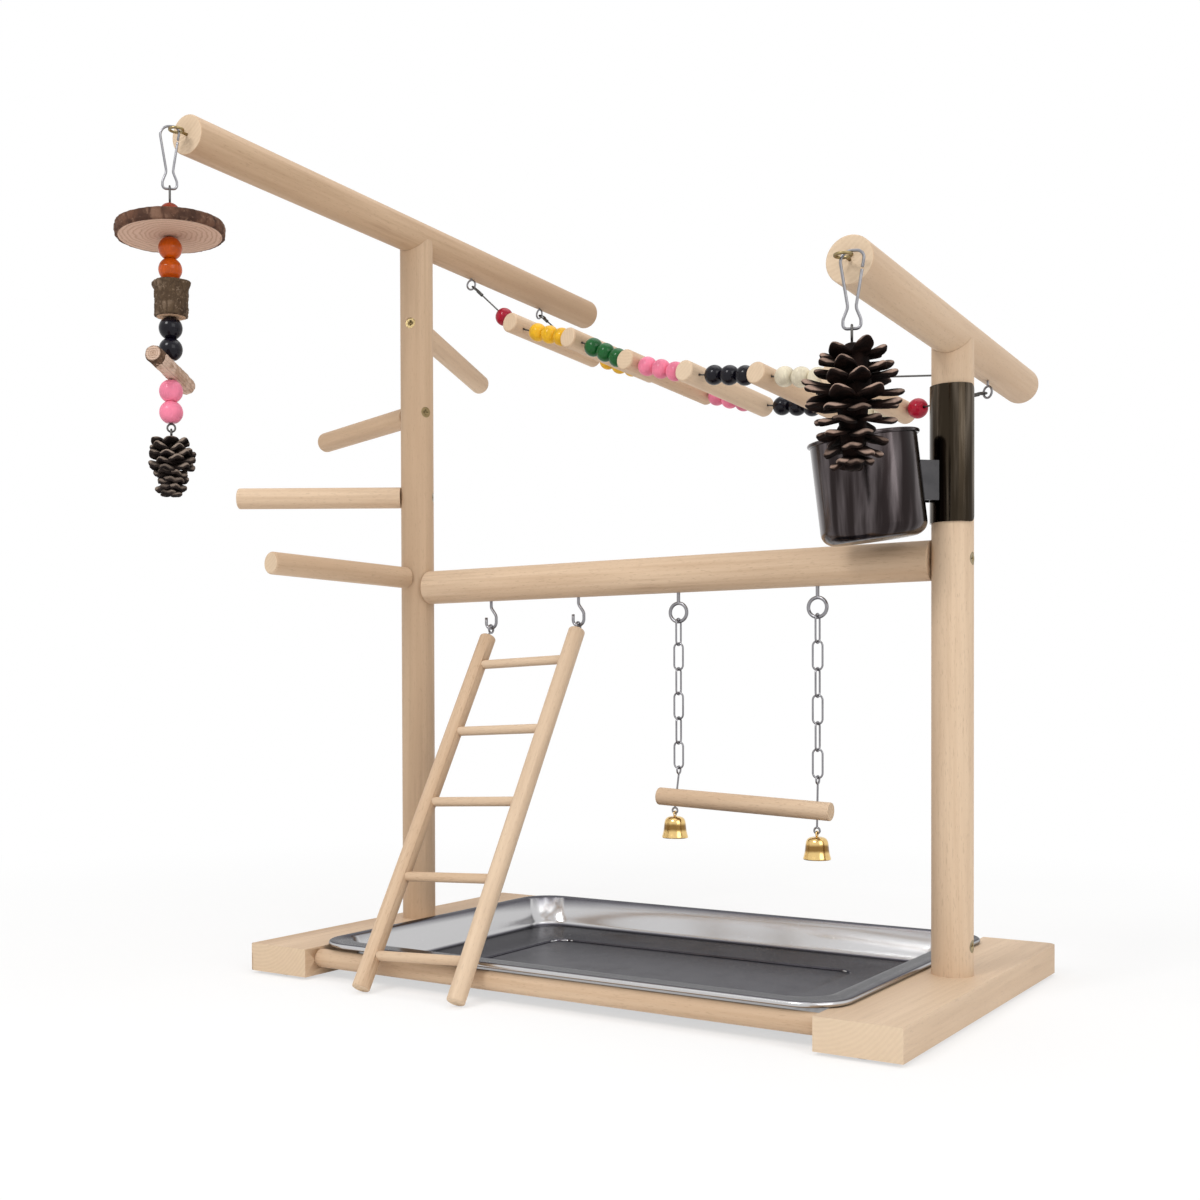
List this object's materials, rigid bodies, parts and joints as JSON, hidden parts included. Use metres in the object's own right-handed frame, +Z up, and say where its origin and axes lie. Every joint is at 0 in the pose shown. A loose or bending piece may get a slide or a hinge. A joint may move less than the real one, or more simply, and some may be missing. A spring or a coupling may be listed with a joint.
{
  "type": "parrot play stand",
  "caption": "Table-top wooden play stand for a parrot, with perches, pegs, ladder, swing, bead bridge, hanging toys, feeding cup and metal tray.",
  "frame": {"origin": "on the table, under the middle of the whole stand's box", "axes": "+X towards the low perch, +Y to the rear, +Z up"},
  "size_m": [0.5903, 0.561, 0.5548],
  "materials": {
    "beech": "sanded, unfinished",
    "rubber": "matt",
    "brass_screw": "bright, worn in the recess",
    "nickel_wire": "bright",
    "dark_wire": "dull",
    "stainless": "polished",
    "bell_gold": "mirror bright",
    "bark": "rough bark, sawn ends",
    "pine_cone": "woody scales with pale edges",
    "orange_dye": "dyed, glossy",
    "black_dye": "dyed, glossy",
    "pink_dye": "dyed, glossy",
    "red_dye": "dyed, glossy",
    "yellow_dye": "dyed, glossy",
    "green_dye": "dyed, glossy",
    "white_dye": "dyed, satin"
  },
  "bodies": {
    "stand": {"board_feet": "rubber", "bridge_bars": "beech", "bridge_black_beads": "black_dye", "bridge_eyes": "nickel_wire", "bridge_front_wire": "dark_wire", "bridge_green_beads": "green_dye", "bridge_pink_beads": "pink_dye", "bridge_rear_wire": "dark_wire", "bridge_red_beads": "red_dye", "bridge_white_beads": "white_dye", "bridge_yellow_beads": "yellow_dye", "crossbar": "beech", "frame_screws": "brass_screw", "front_rail": "beech", "ladder_hooks": "nickel_wire", "left_board": "beech", "left_perch": "beech", "left_post": "beech", "lower_peg": "beech", "middle_peg": "beech", "perch_eyes": "brass_screw", "post_side_screw": "brass_screw", "rear_rail": "beech", "right_board": "beech", "right_perch": "beech", "right_post": "beech", "swing_eyes": "nickel_wire", "top_peg": "beech", "upper_peg": "beech"},
    "ladder": {"ladder_left_rail": "beech", "ladder_right_rail": "beech", "ladder_rungs": "beech", "ladder_eyes": "nickel_wire"},
    "swing": {"swing_left_chain": "nickel_wire", "swing_right_chain": "nickel_wire", "swing_perch": "beech", "swing_wires": "nickel_wire"},
    "left_bell": {"left_bell": "bell_gold"},
    "right_bell": {"right_bell": "bell_gold"},
    "left_clapper": {"left_clapper": "bell_gold"},
    "right_clapper": {"right_clapper": "bell_gold"},
    "tray": {"tray": "stainless"},
    "cup": {"feed_cup": "stainless", "cup_bracket": "stainless", "cup_clip": "stainless"},
    "left_hook": {"left_snap_hook": "nickel_wire"},
    "toy_string": {"toy_wire": "dark_wire", "top_bead": "orange_dye", "orange_beads": "orange_dye", "black_beads": "black_dye", "pink_beads": "pink_dye"},
    "disc": {"bark_disc": "bark"},
    "log": {"bark_log": "bark"},
    "stick": {"toy_stick": "bark"},
    "small_cone": {"small_cone_eye": "dark_wire", "small_pinecone": "pine_cone"},
    "right_hook": {"right_snap_hook": "nickel_wire"},
    "large_cone": {"large_cone_eye": "dark_wire", "large_pinecone": "pine_cone"}
  },
  "joints": [
    {"name": "ladder_hinge", "type": "hinge", "parent": "stand", "child": "ladder", "pos_m": [0.0475, 0.01246, 0.2415], "axis": [-1, 0, 0], "range_deg": [0, 60]},
    {"name": "swing_hinge", "type": "hinge", "parent": "stand", "child": "swing", "pos_m": [0.117, 0.01246, 0.2417], "axis": [1, 0, 0], "range_deg": [-35, 35]},
    {"name": "left_bell_hinge", "type": "hinge", "parent": "swing", "child": "left_bell", "pos_m": [0.0635, 0.01246, 0.11086], "axis": [1, 0, 0], "range_deg": [-35, 35]},
    {"name": "right_bell_hinge", "type": "hinge", "parent": "swing", "child": "right_bell", "pos_m": [0.167, 0.01246, 0.10234], "axis": [1, 0, 0], "range_deg": [-35, 35]},
    {"name": "left_clapper_hinge", "type": "hinge", "parent": "left_bell", "child": "left_clapper", "pos_m": [0.0635, 0.01246, 0.10771], "axis": [1, 0, 0], "range_deg": [-20, 20]},
    {"name": "right_clapper_hinge", "type": "hinge", "parent": "right_bell", "child": "right_clapper", "pos_m": [0.167, 0.01246, 0.09919], "axis": [1, 0, 0], "range_deg": [-20, 20]},
    {"name": "tray_lift", "type": "hinge", "parent": "stand", "child": "tray", "pos_m": [0.049, -0.12884, 0.023], "axis": [1, 0, 0], "range_deg": [0, 18]},
    {"name": "cup_turn", "type": "hinge", "parent": "stand", "child": "cup", "pos_m": [0.255, 0.01246, 0.3375], "axis": [0, 0, 1], "range_deg": [0, 150]},
    {"name": "left_hook_swing", "type": "hinge", "parent": "stand", "child": "left_hook", "pos_m": [-0.14905, -0.24515, 0.5423], "axis": [-0.6947, 0.7193, 0], "range_deg": [-25, 25]},
    {"name": "toy_string_swing", "type": "hinge", "parent": "left_hook", "child": "toy_string", "pos_m": [-0.14905, -0.24515, 0.5057], "axis": [0.7193, 0.6947, 0], "range_deg": [-30, 30]},
    {"name": "disc_spin", "type": "hinge", "parent": "toy_string", "child": "disc", "pos_m": [-0.14905, -0.24515, 0.47996], "axis": [0, 0, 1], "continuous": true},
    {"name": "log_spin", "type": "hinge", "parent": "toy_string", "child": "log", "pos_m": [-0.14905, -0.24515, 0.43793], "axis": [0, 0, 1], "continuous": true},
    {"name": "stick_spin", "type": "hinge", "parent": "toy_string", "child": "stick", "pos_m": [-0.14905, -0.24515, 0.39393], "axis": [0, 0, 1], "continuous": true},
    {"name": "small_cone_swing", "type": "hinge", "parent": "toy_string", "child": "small_cone", "pos_m": [-0.14905, -0.24515, 0.35572], "axis": [0.7193, 0.6947, 0], "range_deg": [-30, 30]},
    {"name": "right_hook_swing", "type": "hinge", "parent": "stand", "child": "right_hook", "pos_m": [0.2677, -0.18106, 0.40975], "axis": [-0.3584, 0.9336, 0], "range_deg": [-25, 25]},
    {"name": "large_cone_swing", "type": "hinge", "parent": "right_hook", "child": "large_cone", "pos_m": [0.2677, -0.18106, 0.37315], "axis": [0.9336, 0.3584, 0], "range_deg": [-25, 25]}
  ]
}
